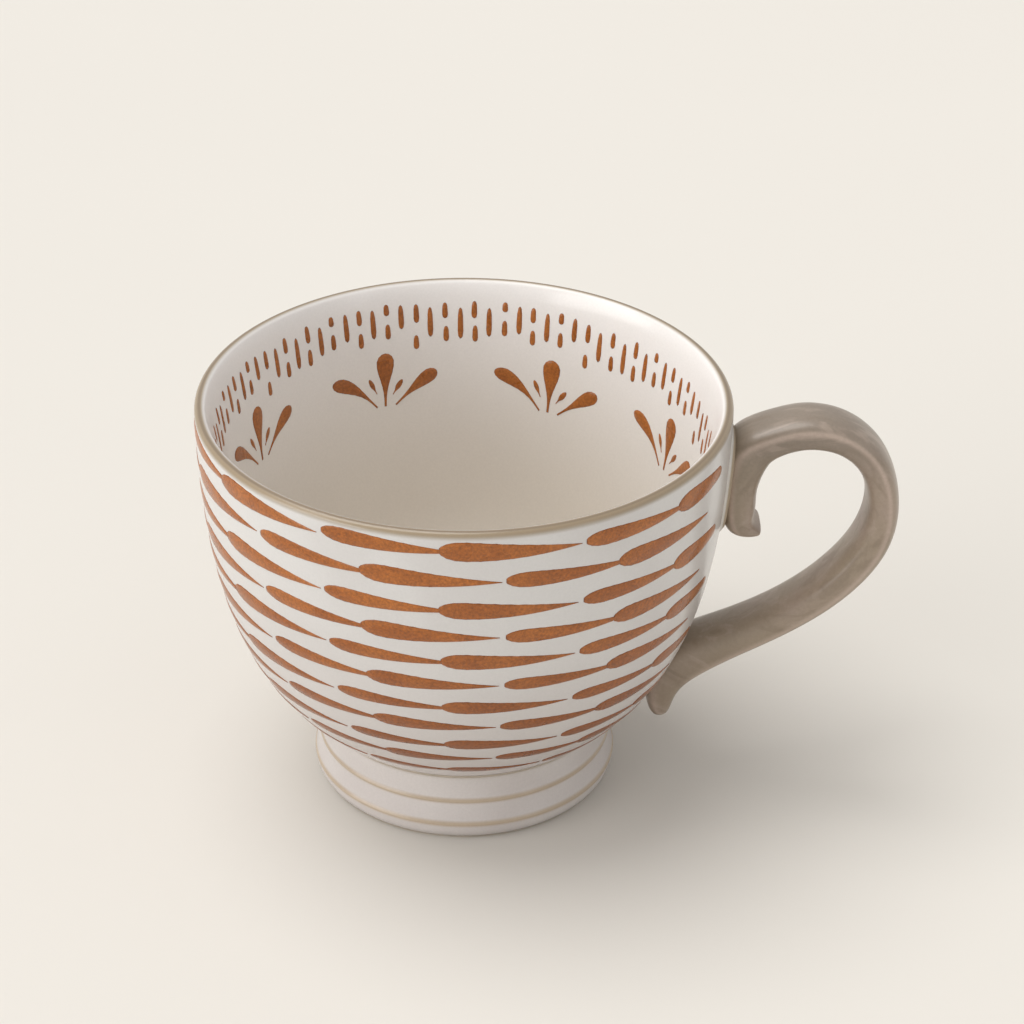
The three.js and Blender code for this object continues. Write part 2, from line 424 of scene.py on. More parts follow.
def draw_stroke(name, height, start=0.0, stop=1.0, round_start=False, round_stop=False):
    stations = []
    for step in range(STROKE_STEPS + 1):
        share = start + (stop - start) * (1 - math.cos(math.pi * step / STROKE_STEPS)) / 2
        width = brush_width(share + HEAD_BLUNTNESS)
        if round_start:
            width *= rounded_end(share - start)
        if round_stop:
            width *= rounded_end(stop - share)
        relief = STROKE_END_RELIEF if step in (0, STROKE_STEPS) else 1.0
        half = max(width * height / 2, THINNEST_HALF)
        droop = -TAIL_DROOP * max(share - TAPER_START, 0)
        stations.append((share * STROKE_LENGTH, half, droop, relief))
    stroke = draw_out(name, MARK_SECTION, stations)
    mark_edges(stroke)
    return stroke


# %% Rows of strokes round the outside
ROW_DEPTHS = [2.5, 8.7, 15.0, 20.9, 26.6, 32.4, 38.3, 43.9, 49.8, 55.4, 62.1]
# A stroke's height in the lowest row, and how much more it has in the top row.
BIG_HEIGHT = (3.5, 0.9)
SMALL_HEIGHT = (3.05, 0.55)
FULLNESS_POWER = 1.5
PAIR_TURN = 360 / 6.5  # a big and a small stroke together
PAIRS = range(-5, 3)  # enough to go round from one side of the plain strip to the other
SMALL_AFTER_BIG = 30.6
SMALL_STOP = 0.86  # the small stroke's tail runs under the next big head
FIRST_HEAD = -95.2
ROW_SHIFT = -16.8
STRIP_HALF = 20.0  # half of the plain strip at the handle
OUTER_TILT = 1.7
OUTER_LOWEST = 30.0
SHORTEST = 0.3  # no shorter piece of a stroke is brushed at the plain strip
BAND_CLEARANCE = 0.25
FULLEST_AT = 12  # degrees from a stroke's start to its fullest place
WOBBLE_DOWN = 0.1  # mm that a mark may sit too high or too low, since it is laid on by hand
WOBBLE_ROUND = 0.2  # degrees that a stroke may sit too far round, either way
hand = random.Random(11)


def base_depth(depth, azimuth, tilt, lowest_at):
    """The band's mean depth, if it passes a depth at an azimuth."""
    return depth - tilt * math.cos(math.radians(azimuth - lowest_at))


strokes = []
templates = {}
for row, row_depth in enumerate(ROW_DEPTHS):
    fullness = (1 - row / (len(ROW_DEPTHS) - 1)) ** FULLNESS_POWER
    heights = {"big": BIG_HEIGHT[0] + BIG_HEIGHT[1] * fullness,
               "small": SMALL_HEIGHT[0] + SMALL_HEIGHT[1] * fullness}
    shift = ROW_SHIFT if row % 2 else 0
    for pair in PAIRS:
        for kind in ("big", "small"):
            head = FIRST_HEAD + shift + pair * PAIR_TURN + (SMALL_AFTER_BIG if kind == "small" else 0)
            start = max((STRIP_HALF - 360 - head) / STROKE_TURN, 0)
            stop = min((-STRIP_HALF - head) / STROKE_TURN, SMALL_STOP if kind == "small" else 1)
            if stop - start < SHORTEST:
                continue
            cut_start = start > 0
            cut_stop = stop < (SMALL_STOP if kind == "small" else 1)
            key = (row, kind, round(start, 3), round(stop, 3))
            if key not in templates:
                templates[key] = draw_stroke("stroke", heights[kind], start, stop, cut_start, cut_stop)
            stroke = add_copy(templates[key], "outer_stroke")
            fuller = hand.uniform(0.96, 1.03)
            for corner in stroke.data.vertices:
                corner.co.y *= fuller
            depth = base_depth(row_depth, FIRST_HEAD, OUTER_TILT, OUTER_LOWEST)
            depth += hand.uniform(-WOBBLE_DOWN, WOBBLE_DOWN)
            head_depth = depth + OUTER_TILT * math.cos(math.radians(head + FULLEST_AT - OUTER_LOWEST))
            depth += max(heights[kind] / 2 + BAND_CLEARANCE - head_depth, 0)
            lay_on_wall(stroke.data, outer_wall, head + hand.uniform(-WOBBLE_ROUND, WOBBLE_ROUND),
                        depth, RIM_RADIUS, 1, OUTER_TILT, OUTER_LOWEST)
            strokes.append(stroke)
outer_strokes = join("outer_strokes", strokes)


def put_away(pieces):
    """Removes the flat templates, once their copies are in place."""
    for piece in pieces:
        bpy.data.objects.remove(piece)


put_away(templates.values())

# %% [markdown]
# ## The marks inside
# Under the rim runs a ring of upright dashes, in columns that take turns between one long dash
# and two short ones. It was printed with a stamp of twelve columns, used again and again. Below it
# hang nine small fans of five leaves. All of them are thin raised bodies, like the strokes.

# %% Ring of dashes
DASH_COLUMNS = 99
DASH_START = 232.8
INNER_TILT = 2.6
INNER_LOWEST = -62.0
INNER_AROUND = 45.2  # radius of the inner wall where the marks are
DASHES_READ_AT = 100  # azimuth where the stamp's depths hold; the band's tilt shifts them elsewhere
DASH_WIDTH = 1.2
DASH_TIP = 0.12
DASH_ROUNDNESS = 5  # a higher power keeps the ends squarer
DASH_WOBBLE = 0.15
MARK_END_RELIEF = 0.4  # how much of its thickness a dash or a leaf keeps at its two ends
DASH_LENGTHS = {"long": 6.2, "short": 3.2}
LONG_FROM = 5  # a dash longer than this is a copy of the long one
# Each column of the stamp: where its dashes start and stop, in mm below the rim.
STAMP = [
    [(3.4, 7.2), (9.8, 12.7)], [(4.2, 10.3)], [(3.2, 6.4), (8.2, 11.4)], [(4.4, 10.8)],
    [(2.9, 6.4), (7.8, 11.2)], [(4.1, 10.0)], [(2.7, 4.7), (6.5, 9.7)], [(3.2, 8.9)],
    [(2.9, 6.0), (7.7, 10.8)], [(3.5, 9.4)], [(2.7, 5.0), (6.8, 9.9)], [(3.2, 8.1)]]


def draw_dash(name, length):
    """An upright dash, rounded at both ends and fullest below its middle."""
    stations = []
    steps = 6
    for step in range(steps + 1):
        share = (1 - math.cos(math.pi * step / steps)) / 2
        round_off = math.sqrt(max(1 - abs(2 * share - 1) ** DASH_ROUNDNESS, 0))
        half = max(DASH_WIDTH / 2 * round_off * (0.85 + 0.25 * share), DASH_TIP)
        relief = MARK_END_RELIEF if step in (0, steps) else 1.0
        stations.append((share * length, half, 0, relief))
    dash = draw_out(name, MARK_SECTION, stations)
    mark_edges(dash)
    for corner in dash.data.vertices:
        corner.co.xy = (corner.co.y, -corner.co.x)
    return dash


dash_templates = {kind: draw_dash(f"{kind}_dash", length) for kind, length in DASH_LENGTHS.items()}
dashes = []
for column in range(DASH_COLUMNS):
    azimuth = DASH_START - column * 360 / DASH_COLUMNS
    for top, bottom in STAMP[column % len(STAMP)]:
        kind = "long" if bottom - top > LONG_FROM else "short"
        dash = add_copy(dash_templates[kind], "inner_dash")
        for corner in dash.data.vertices:
            corner.co.y *= (bottom - top) / DASH_LENGTHS[kind]
            corner.co.x *= hand.uniform(0.97, 1.03)
        depth = base_depth(top, DASHES_READ_AT, INNER_TILT, INNER_LOWEST)
        depth += hand.uniform(-WOBBLE_DOWN, WOBBLE_DOWN)
        lay_on_wall(dash.data, inner_wall, azimuth + hand.uniform(-DASH_WOBBLE, DASH_WOBBLE), depth,
                    INNER_AROUND, -1, INNER_TILT, INNER_LOWEST)
        dashes.append(dash)
put_away(dash_templates.values())
inner_dashes = join("inner_dashes", dashes)

# %% Nine fans
FIRST_FAN = 150.0
FAN_DEPTH = 23.9  # the leaves' lower ends, below the rim, at the azimuth FANS_READ_AT
FANS_READ_AT = 110
STALK_SHARE = 0.13  # width of a leaf's lower end, as a share of its fullest width
SWELL_POWER = 1.6  # a higher power keeps the stalk thin for longer
LEAF_TIP = 0.1
# Each fan was laid on by hand: how many degrees it is turned, and how many mm it hangs too low.
FANS_OFF = [(2.8, -0.1), (0.8, 0.0), (-2.2, 0.2), (-2.7, 0.0), (-1.8, -0.2), (-0.9, 0.3), (0.0, -0.4),
            (0.9, 0.1), (1.8, 0.2)]
# Each leaf: lower end, upper end, width, share of its length where it is fullest, bow.
FAN_LEAVES = [
    ((0, 0), (0.5, 11.2), 4.0, 0.82, 0.0), ((-1.8, 0), (-11.3, 7.3), 3.2, 0.82, -0.9),
    ((2.2, 0.0), (10.8, 6.7), 3.1, 0.82, 0.15), ((-1.7, 2.9), (-3.2, 6.2), 1.05, 0.6, 0.0),
    ((1.7, 2.3), (3.8, 5.2), 1.2, 0.6, 0.0)]


def draw_leaf(name, lower, upper, width, fullest, bow):
    """A leaf that swells from a thin stalk to a round head, bowed a little to one side."""
    lower, upper = Vector(lower), Vector(upper)
    length = (upper - lower).length
    stations = []
    steps = 12
    for step in range(steps + 1):
        share = (1 - math.cos(math.pi * step / steps)) / 2
        if share < fullest:
            swell = share / fullest
            part = STALK_SHARE + (1 - STALK_SHARE) * ((3 - 2 * swell) * swell ** 2) ** SWELL_POWER
        else:
            part = math.sqrt(max(1 - ((share - fullest) / (1 - fullest)) ** 2, 0))
        half = max(width / 2 * part, LEAF_TIP)
        relief = MARK_END_RELIEF if step in (0, steps) else 1.0
        stations.append((share * length, half, bow * math.sin(math.pi * share), relief))
    leaf = draw_out(name, MARK_SECTION, stations)
    mark_edges(leaf)
    along = (upper - lower).normalized()
    for corner in leaf.data.vertices:
        x, y = corner.co.x, corner.co.y
        corner.co.x = lower.x * MM + along.x * x - along.y * y
        corner.co.y = lower.y * MM + along.y * x + along.x * y
    return leaf


leaf_templates = [draw_leaf("leaf", *leaf) for leaf in FAN_LEAVES]
leaves = []
for fan, (turned, dropped) in enumerate(FANS_OFF):
    azimuth = FIRST_FAN - fan * 360 / len(FANS_OFF) + turned
    depth = base_depth(FAN_DEPTH, FANS_READ_AT, INNER_TILT, INNER_LOWEST) + dropped
    for template in leaf_templates:
        leaf = add_copy(template, "fan_leaf")
        lay_on_wall(leaf.data, inner_wall, azimuth, depth, INNER_AROUND, -1, INNER_TILT, INNER_LOWEST)
        leaves.append(leaf)
put_away(leaf_templates)
fan_motifs = join("fan_motifs", leaves)

# %% [markdown]
# ## Slip at the handle's roots
# The handle is stuck on with slip, a creamy clay that squeezes out around the joint and is wiped
# to a soft slope. Each joint is a low oblong pad with sloping sides, wrapped onto the wall. The
# handle covers its middle, so only the slope shows.

# %% Pads of slip
PAD_CORNERS = 48
PAD_SQUARENESS = 0.6  # 1 would be an ellipse, and less is squarer
WIPED_FROM = 0.55  # the height from which a pad counts as its wiped crest
TAPE_STEP = 0.1
# Each ring of a pad: how far in from its border, and how high.
PAD_RINGS = [(0.0, -0.4), (0.0, 0.0), (0.35, 0.22), (0.8, 0.55), (1.25, 0.85), (2.6, 0.95)]


def depth_of(height):
    """How far down the outer tape a height lies."""
    depth = 0.0
    while outer_wall(depth)[0].y > height:
        depth += TAPE_STEP
    return depth


def slip_pad(name, lowest, highest, half_width):
    clear_selection()
    bottom, top = depth_of(lowest), depth_of(highest)
    half_height = (bottom - top) / 2
    bpy.ops.mesh.primitive_circle_add(vertices=PAD_CORNERS, radius=MM, fill_type="NGON")
    pad = bpy.context.object
    pad.name = name
    for corner in pad.data.vertices:
        x, y = corner.co.x / MM, corner.co.y / MM
        corner.co = Vector((math.copysign(abs(x) ** PAD_SQUARENESS, x) * half_width,
                            math.copysign(abs(y) ** PAD_SQUARENESS, y) * half_height, PAD_RINGS[0][1])) * MM
    bpy.ops.object.mode_set(mode="EDIT")
    for (inset, height), (next_inset, next_height) in zip(PAD_RINGS, PAD_RINGS[1:]):
        bpy.ops.mesh.extrude_region_move(
            TRANSFORM_OT_translate={"value": (0, 0, (next_height - height) * MM)})
        bpy.ops.transform.resize(
            value=((half_width - next_inset) / (half_width - inset),
                   (half_height - next_inset) / (half_height - inset), 1),
            center_override=(0, 0, next_height * MM))
    close_and_smooth(pad)
    edge = pad.data.attributes.new("edge", "FLOAT", "POINT")
    for corner, value in zip(pad.data.vertices, edge.data):
        value.value = min(max(corner.co.z / MM / WIPED_FROM, 0), 1)
    lay_on_wall(pad.data, outer_wall, 0, (bottom + top) / 2, RIM_RADIUS, 1, 0, 0)
    close_and_smooth(pad)
    print(f"{name}: {2 * half_width:.1f} x {2 * half_height:.1f} mm")
    return pad


upper_slip = slip_pad("upper_root_slip", 52.9, 74.4, 7.7)
lower_slip = slip_pad("lower_root_slip", 17.8, 30.4, 8.0)

# %% [markdown]
# ## Glaze and pigment
# Fired glaze is never one flat colour. It thins to tan on sharp edges, has a grain from the body
# under it, and its skin is slightly wavy. Each of those effects is built once as a group of shader
# nodes, and each material uses them with its own values. Low on the mug, colours are also painted
# darker, as painted shade.

# %% Helpers for shader nodes
def tone(red, green, blue):
    """A colour given as screen values, 0 to 255, turned into the linear values of a shader."""
    parts = []
    for value in (red, green, blue):
        value /= 255
        parts.append(value / 12.92 if value <= 0.04045 else ((value + 0.055) / 1.055) ** 2.4)
    return (*parts, 1.0)


def add_node(tree, kind, inputs, **settings):
    """Adds a node. Inputs are constants or other nodes' outputs, keyed by name or number."""
    node = tree.nodes.new(kind)
    for key, value in settings.items():
        setattr(node, key, value)
    for key, value in inputs.items():
        if isinstance(value, bpy.types.NodeSocket):
            tree.links.new(value, node.inputs[key])
        else:
            node.inputs[key].default_value = value
    return node


def blend_colours(tree, share, first, second):
    node = add_node(tree, "ShaderNodeMix", {0: share, 6: first, 7: second}, data_type="RGBA")
    return node.outputs[2]


def ease(tree, value, low, high, start=0.0, end=1.0):
    """Turns a value from low to high into start to end, with soft ends."""
    node = add_node(tree, "ShaderNodeMapRange",
                    {"Value": value, "From Min": low, "From Max": high, "To Min": start, "To Max": end},
                    interpolation_type="SMOOTHSTEP")
    return node.outputs["Result"]


def calculate(tree, operation, first, second=0.0):
    node = add_node(tree, "ShaderNodeMath", {0: first, 1: second}, operation=operation)
    return node.outputs[0]


def new_group(name, inputs, outputs):
    """An empty node group with named sockets. Returns it with its input and output nodes."""
    group = bpy.data.node_groups.new(name, "ShaderNodeTree")
    for socket, kind in inputs:
        group.interface.new_socket(name=socket, in_out="INPUT", socket_type=f"NodeSocket{kind}")
    for socket, kind in outputs:
        group.interface.new_socket(name=socket, in_out="OUTPUT", socket_type=f"NodeSocket{kind}")
    return group, group.nodes.new("NodeGroupInput"), group.nodes.new("NodeGroupOutput")


def use_group(tree, group, inputs):
    node = tree.nodes.new("ShaderNodeGroup")
    node.node_tree = group
    for key, value in inputs.items():
        if isinstance(value, bpy.types.NodeSocket):
            tree.links.new(value, node.inputs[key])
        else:
            node.inputs[key].default_value = value
    return node


# %% Group: place on the mug, as distance from the axis and height in mm
mug_place, place_in, place_out = new_group(
    "mug_place", [("Position", "Vector")], [("Radius", "Float"), ("Height", "Float")])
centred = add_node(mug_place, "ShaderNodeVectorMath",
                   {0: place_in.outputs["Position"], 1: (AXIS_X * MM, 0, 0)}, operation="SUBTRACT")
in_mm = add_node(mug_place, "ShaderNodeVectorMath",
                 {0: centred.outputs[0], "Scale": 1 / MM}, operation="SCALE")
flattened = add_node(mug_place, "ShaderNodeVectorMath",
                     {0: in_mm.outputs[0], 1: (1, 1, 0)}, operation="MULTIPLY")
length = add_node(mug_place, "ShaderNodeVectorMath", {0: flattened.outputs[0]}, operation="LENGTH")
parted = add_node(mug_place, "ShaderNodeSeparateXYZ", {0: in_mm.outputs[0]})
mug_place.links.new(length.outputs["Value"], place_out.inputs["Radius"])
mug_place.links.new(parted.outputs["Z"], place_out.inputs["Height"])

# %% Group: grain, a fine mottling that makes a colour lighter and darker
grain, grain_in, grain_out = new_group(
    "kiln_grain", [("Position", "Vector"), ("Per Metre", "Float"), ("Strength", "Float")],
    [("Shade", "Float")])
grain_noise = add_node(grain, "ShaderNodeTexNoise",
                       {"Vector": grain_in.outputs["Position"], "Scale": grain_in.outputs["Per Metre"],
                        "Detail": 3.0, "Roughness": 0.65})
grain_spread = calculate(grain, "MULTIPLY", calculate(grain, "SUBTRACT", grain_noise.outputs["Fac"], 0.5),
                         calculate(grain, "MULTIPLY", grain_in.outputs["Strength"], 4.0))
grain.links.new(calculate(grain, "ADD", grain_spread, 1.0), grain_out.inputs["Shade"])

# %% Group: drift, a slow change from one tint to another
drift, drift_in, drift_out = new_group(
    "slow_drift", [("Position", "Vector"), ("Per Metre", "Float")], [("Share", "Float")])
drift_noise = add_node(drift, "ShaderNodeTexNoise",
                       {"Vector": drift_in.outputs["Position"], "Scale": drift_in.outputs["Per Metre"],
                        "Detail": 2.0, "Distortion": 0.6})
drift.links.new(ease(drift, drift_noise.outputs["Fac"], 0.33, 0.67), drift_out.inputs["Share"])

# %% Group: skin, the slight waviness of a glaze
skin, skin_in, skin_out = new_group(
    "glaze_skin", [("Position", "Vector"), ("Ripple", "Float")], [("Height", "Float")])
broad = add_node(skin, "ShaderNodeTexNoise",
                 {"Vector": skin_in.outputs["Position"], "Scale": 90.0, "Detail": 1.0})
fine = add_node(skin, "ShaderNodeTexNoise",
                {"Vector": skin_in.outputs["Position"], "Scale": 1100.0, "Detail": 2.0})
ripple = calculate(skin, "MULTIPLY", fine.outputs["Fac"], skin_in.outputs["Ripple"])
skin.links.new(calculate(skin, "ADD", broad.outputs["Fac"], ripple), skin_out.inputs["Height"])
print("node groups:", [group.name for group in bpy.data.node_groups])


# %% Helpers for materials
def new_material(name):
    """A material with its shader, and the two things that every finish here starts from."""
    material = bpy.data.materials.new(name)
    material.use_nodes = True
    tree = material.node_tree
    position = tree.nodes.new("ShaderNodeTexCoord").outputs["Object"]
    return material, tree, tree.nodes["Principled BSDF"], position


def shaded(tree, colour, shade):
    """The colour made lighter or darker by a shade round 1."""
    node = add_node(tree, "ShaderNodeHueSaturation", {"Color": colour, "Value": shade})
    return node.outputs["Color"]


def wavy(tree, shader, position, ripple, depth):
    """Gives the shader the glaze's skin, with waves of a depth in mm."""
    height = use_group(tree, skin, {"Position": position, "Ripple": ripple}).outputs["Height"]
    bump = add_node(tree, "ShaderNodeBump", {"Height": height, "Distance": depth * MM, "Strength": 1.0})
    tree.links.new(bump.outputs["Normal"], shader.inputs["Normal"])


def paint(piece, material):
    piece.data.materials.clear()
    piece.data.materials.append(material)
    print(f"{material.name} on {piece.name}")


# %% [markdown]
# ## Cream glaze
# The bowl's glaze is a pale cool cream outside, painted darker towards the bottom as painted shade.
# Inside it turns warmer, and towards the floor it is painted darker, as painted shade. Over the rim it
# breaks to a soft tan band, with a thin darker line along the middle of the band.

# %% Cream glaze on the bowl
inner_glaze = bowl.data.attributes.new("inner_glaze", "FLOAT", "POINT")
for corner, value in zip(bowl.data.vertices, inner_glaze.data):
    outwards = Vector((corner.co.x - AXIS_X * MM, corner.co.y, 0))
    inside = corner.normal.dot(outwards) < 0 or corner.normal.z > 0.9
    value.value = 1.0 if inside and corner.co.z > 13 * MM else 0.0

cream, tree, shader, position = new_material("cream_glaze")
place = use_group(tree, mug_place, {"Position": position})
radius, height = place.outputs["Radius"], place.outputs["Height"]
share = use_group(tree, drift, {"Position": position, "Per Metre": 30.0}).outputs["Share"]
outer_colour = blend_colours(tree, share, tone(208, 205, 203), tone(214, 212, 210))
# Painted shade: the outside is painted darker and a little pinker towards the bottom of the wall.
low_wall_shade = ease(tree, height, 66.0, 18.0, 0.0, 0.85)
outer_colour = blend_colours(tree, low_wall_shade, outer_colour, tone(195, 188, 185))
# Inside, the glaze is warmer than outside; towards the floor it is also painted darker, as painted shade.
inner_floor_shade = ease(tree, height, 74.0, 30.0)
inner_colour = blend_colours(tree, inner_floor_shade, tone(235, 231, 228), tone(214, 206, 194))
is_inside = add_node(tree, "ShaderNodeAttribute", {}, attribute_name="inner_glaze").outputs["Fac"]
colour = blend_colours(tree, is_inside, outer_colour, inner_colour)
band = calculate(tree, "MULTIPLY", ease(tree, height, 78.9, 80.1), ease(tree, radius, 48.1, 48.9))
colour = blend_colours(tree, band, colour, tone(153, 136, 112))
from_line = calculate(tree, "ABSOLUTE", calculate(tree, "SUBTRACT", radius, 49.15))
line = calculate(tree, "MULTIPLY", ease(tree, from_line, 0.45, 0.05), ease(tree, height, 79.9, 80.3))
colour = blend_colours(tree, calculate(tree, "MULTIPLY", line, 0.8), colour, tone(128, 111, 91))
shade = use_group(tree, grain, {"Position": position, "Per Metre": 2200.0, "Strength": 0.03})
tree.links.new(shaded(tree, colour, shade.outputs["Shade"]), shader.inputs["Base Color"])
tree.links.new(ease(tree, share, 0.0, 1.0, 0.2, 0.27), shader.inputs["Roughness"])
shader.inputs["Coat Weight"].default_value = 0.25
shader.inputs["Coat Roughness"].default_value = 0.18
wavy(tree, shader, position, 0.08, 0.06)
paint(bowl, cream)

# %% [markdown]
# ## Rust pigment
# The marks are iron-rich pigment under the glaze. It is grainy, a little uneven from stroke to
# stroke, and darkest along its border. Low on the bowl it is painted darker, as painted shade. The
# same recipe serves all three sets of marks.

# %% Pigment on the marks
pigment, tree, shader, position = new_material("rust_pigment")
share = use_group(tree, drift, {"Position": position, "Per Metre": 110.0}).outputs["Share"]
colour = blend_colours(tree, share, tone(152, 84, 27), tone(167, 97, 35))
edge = add_node(tree, "ShaderNodeAttribute", {}, attribute_name="edge").outputs["Fac"]
border = ease(tree, edge, 0.0, 0.9, 0.0, 0.9)
colour = blend_colours(tree, border, colour, tone(112, 56, 18))
height = use_group(tree, mug_place, {"Position": position}).outputs["Height"]
# Painted shade: the pigment is painted darker towards the bottom of the bowl.
colour = blend_colours(tree, ease(tree, height, 68.0, 16.0, 0.0, 0.9), colour, tone(122, 66, 26))
shade = use_group(tree, grain, {"Position": position, "Per Metre": 2000.0, "Strength": 0.42})
tree.links.new(shaded(tree, colour, shade.outputs["Shade"]), shader.inputs["Base Color"])
tree.links.new(ease(tree, share, 0.0, 1.0, 0.25, 0.34), shader.inputs["Roughness"])
shader.inputs["Coat Weight"].default_value = 0.1
shader.inputs["Coat Roughness"].default_value = 0.1
wavy(tree, shader, position, 0.3, 0.04)
for marks in (outer_strokes, inner_dashes, fan_motifs):
    paint(marks, pigment)

# %% [markdown]
# ## Glaze on the foot
# The foot's glaze is a touch pinker. It breaks to tan on the two raised lines, and it stops just
# above the table, so that the ring the mug stands on is bare clay.

# %% Foot glaze and slip
foot_glaze, tree, shader, position = new_material("foot_glaze")
place = use_group(tree, mug_place, {"Position": position})
radius, height = place.outputs["Radius"], place.outputs["Height"]
share = use_group(tree, drift, {"Position": position, "Per Metre": 45.0}).outputs["Share"]
colour = blend_colours(tree, share, tone(204, 197, 194), tone(210, 204, 201))
for line_height in FOOT_LINES:
    from_line = calculate(tree, "ABSOLUTE", calculate(tree, "SUBTRACT", height, line_height))
    colour = blend_colours(tree, ease(tree, from_line, 0.85, 0.15, 0.0, 0.85), colour, tone(184, 164, 138))
# Painted shade in the crease under the bowl: the top of the foot is painted darker.
colour = blend_colours(tree, ease(tree, height, 13.9, 13.2, 1.0, 0.0), colour, tone(196, 188, 182))
bare = ease(tree, height, 0.45, 0.2)
colour = blend_colours(tree, bare, colour, tone(214, 196, 168))
shade = use_group(tree, grain, {"Position": position, "Per Metre": 2200.0, "Strength": 0.04})
tree.links.new(shaded(tree, colour, shade.outputs["Shade"]), shader.inputs["Base Color"])
tree.links.new(ease(tree, bare, 0.0, 1.0, 0.26, 0.85), shader.inputs["Roughness"])
shader.inputs["Coat Weight"].default_value = 0.2
shader.inputs["Coat Roughness"].default_value = 0.1
wavy(tree, shader, position, 0.1, 0.06)
paint(foot, foot_glaze)

slip, tree, shader, position = new_material("wiped_slip")
share = use_group(tree, drift, {"Position": position, "Per Metre": 160.0}).outputs["Share"]
colour = blend_colours(tree, share, tone(210, 206, 199), tone(216, 212, 206))
edge = add_node(tree, "ShaderNodeAttribute", {}, attribute_name="edge").outputs["Fac"]
# Darker where the edge attribute is high: on the waist ring that is painted crease shade, and on the pads it
# darkens them up the slope towards the crest under the handle.
colour = blend_colours(tree, ease(tree, edge, 0.5, 1.0), colour, tone(174, 158, 136))
shade = use_group(tree, grain, {"Position": position, "Per Metre": 1800.0, "Strength": 0.05})
tree.links.new(shaded(tree, colour, shade.outputs["Shade"]), shader.inputs["Base Color"])
shader.inputs["Roughness"].default_value = 0.35
wavy(tree, shader, position, 0.2, 0.05)
for piece in (slip_ring, upper_slip, lower_slip):
    paint(piece, slip)

# %% [markdown]
# ## Greige glaze
# The handle wears a grey-brown glaze. It drifts between olive and pink, is painted darker and greyer
# over the crown as painted shade, and is darker near both roots. Soft streaks follow the loop, and a
# lighter line beside each edge is a painted reflection of the floor.

# %% Greige glaze on the handle
LOOP_MIDDLE = Vector((AXIS_X + 63.0, 0, 56.0)) * MM
# Painted reflection of the floor: a band on each side of the strap, turned a little out from the loop, is
# marked to be painted lighter.
floor_reflection_band = handle.data.attributes.new("floor_reflection_band", "FLOAT", "POINT")
for corner, value in zip(handle.data.vertices, floor_reflection_band.data):
    outwards = corner.co - LOOP_MIDDLE
    outwards.y = 0
    turned_out = corner.normal.dot(outwards.normalized())
    value.value = max(1 - abs(turned_out - 0.35) / 0.28, 0) if abs(corner.normal.y) > 0.4 else 0.0

greige, tree, shader, position = new_material("greige_glaze")
place = use_group(tree, mug_place, {"Position": position})
radius, height = place.outputs["Radius"], place.outputs["Height"]
share = use_group(tree, drift, {"Position": position, "Per Metre": 48.0}).outputs["Share"]
colour = blend_colours(tree, share, tone(158, 142, 123), tone(166, 147, 134))
# Painted shade: the top of the loop is painted darker and greyer.
crown = ease(tree, height, 60.0, 76.0, 0.0, 0.85)
colour = blend_colours(tree, crown, colour, tone(132, 120, 107))
# Darker towards both roots, near the bowl's wall.
root = ease(tree, radius, 60.0, 46.0, 0.0, 0.6)
colour = blend_colours(tree, root, colour, tone(146, 131, 112))
from_middle = add_node(tree, "ShaderNodeVectorMath", {0: position, 1: LOOP_MIDDLE}, operation="SUBTRACT")
parted = add_node(tree, "ShaderNodeSeparateXYZ", {0: from_middle.outputs[0]})
flattened = add_node(tree, "ShaderNodeVectorMath", {0: from_middle.outputs[0], 1: (1, 0, 1)},
                     operation="MULTIPLY")
ring_out = add_node(tree, "ShaderNodeVectorMath", {0: flattened.outputs[0]}, operation="LENGTH")
turn = calculate(tree, "ARCTAN2", parted.outputs["Z"], parted.outputs["X"])
along_loop = add_node(tree, "ShaderNodeCombineXYZ", {
    "X": ring_out.outputs["Value"], "Y": parted.outputs["Y"], "Z": calculate(tree, "MULTIPLY", turn, 0.006)})
streaks = add_node(tree, "ShaderNodeTexNoise", {"Vector": along_loop.outputs[0], "Scale": 260.0,
                                                "Detail": 3.0, "Distortion": 1.2})
colour = blend_colours(tree, ease(tree, streaks.outputs["Fac"], 0.5, 0.68, 0.0, 0.42), colour,
                       tone(126, 110, 92))
colour = blend_colours(tree, ease(tree, streaks.outputs["Fac"], 0.46, 0.32, 0.0, 0.4), colour,
                       tone(178, 160, 146))
# The lighter band beside each edge is a painted reflection of the floor.
edge = add_node(tree, "ShaderNodeAttribute", {}, attribute_name="floor_reflection_band").outputs["Fac"]
colour = blend_colours(tree, ease(tree, edge, 0.0, 1.0, 0.0, 0.7), colour, tone(192, 172, 158))
shade = use_group(tree, grain, {"Position": position, "Per Metre": 1500.0, "Strength": 0.07})
tree.links.new(shaded(tree, colour, shade.outputs["Shade"]), shader.inputs["Base Color"])
tree.links.new(ease(tree, share, 0.0, 1.0, 0.32, 0.42), shader.inputs["Roughness"])
shader.inputs["Coat Weight"].default_value = 0.25
shader.inputs["Coat Roughness"].default_value = 0.2
wavy(tree, shader, position, 0.1, 0.12)
paint(handle, greige)

# %% [markdown]
# ## Riding on the frame
# The mug has no moving parts, so every piece rides on the one body, root. Each piece hides the
# node of the frame that it stands for, and the finish listed for it is only printed.

# %% Ride and replace
for piece, node, finish in [(bowl, "bowl", "cream_glaze"), (foot, "pedestal_foot", "foot_glaze"),
                            (slip_ring, "foot_slip", "slip"), (handle, "handle", "greige_glaze"),
                            (upper_slip, "upper_handle_slip", "slip"),
                            (lower_slip, "lower_handle_slip", "slip")]:
    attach(piece, "root")
    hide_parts(node)
    print(f"{piece.name} stands for {node}, in {finish}")
for marks in (outer_strokes, inner_dashes, fan_motifs):
    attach(marks, "root")

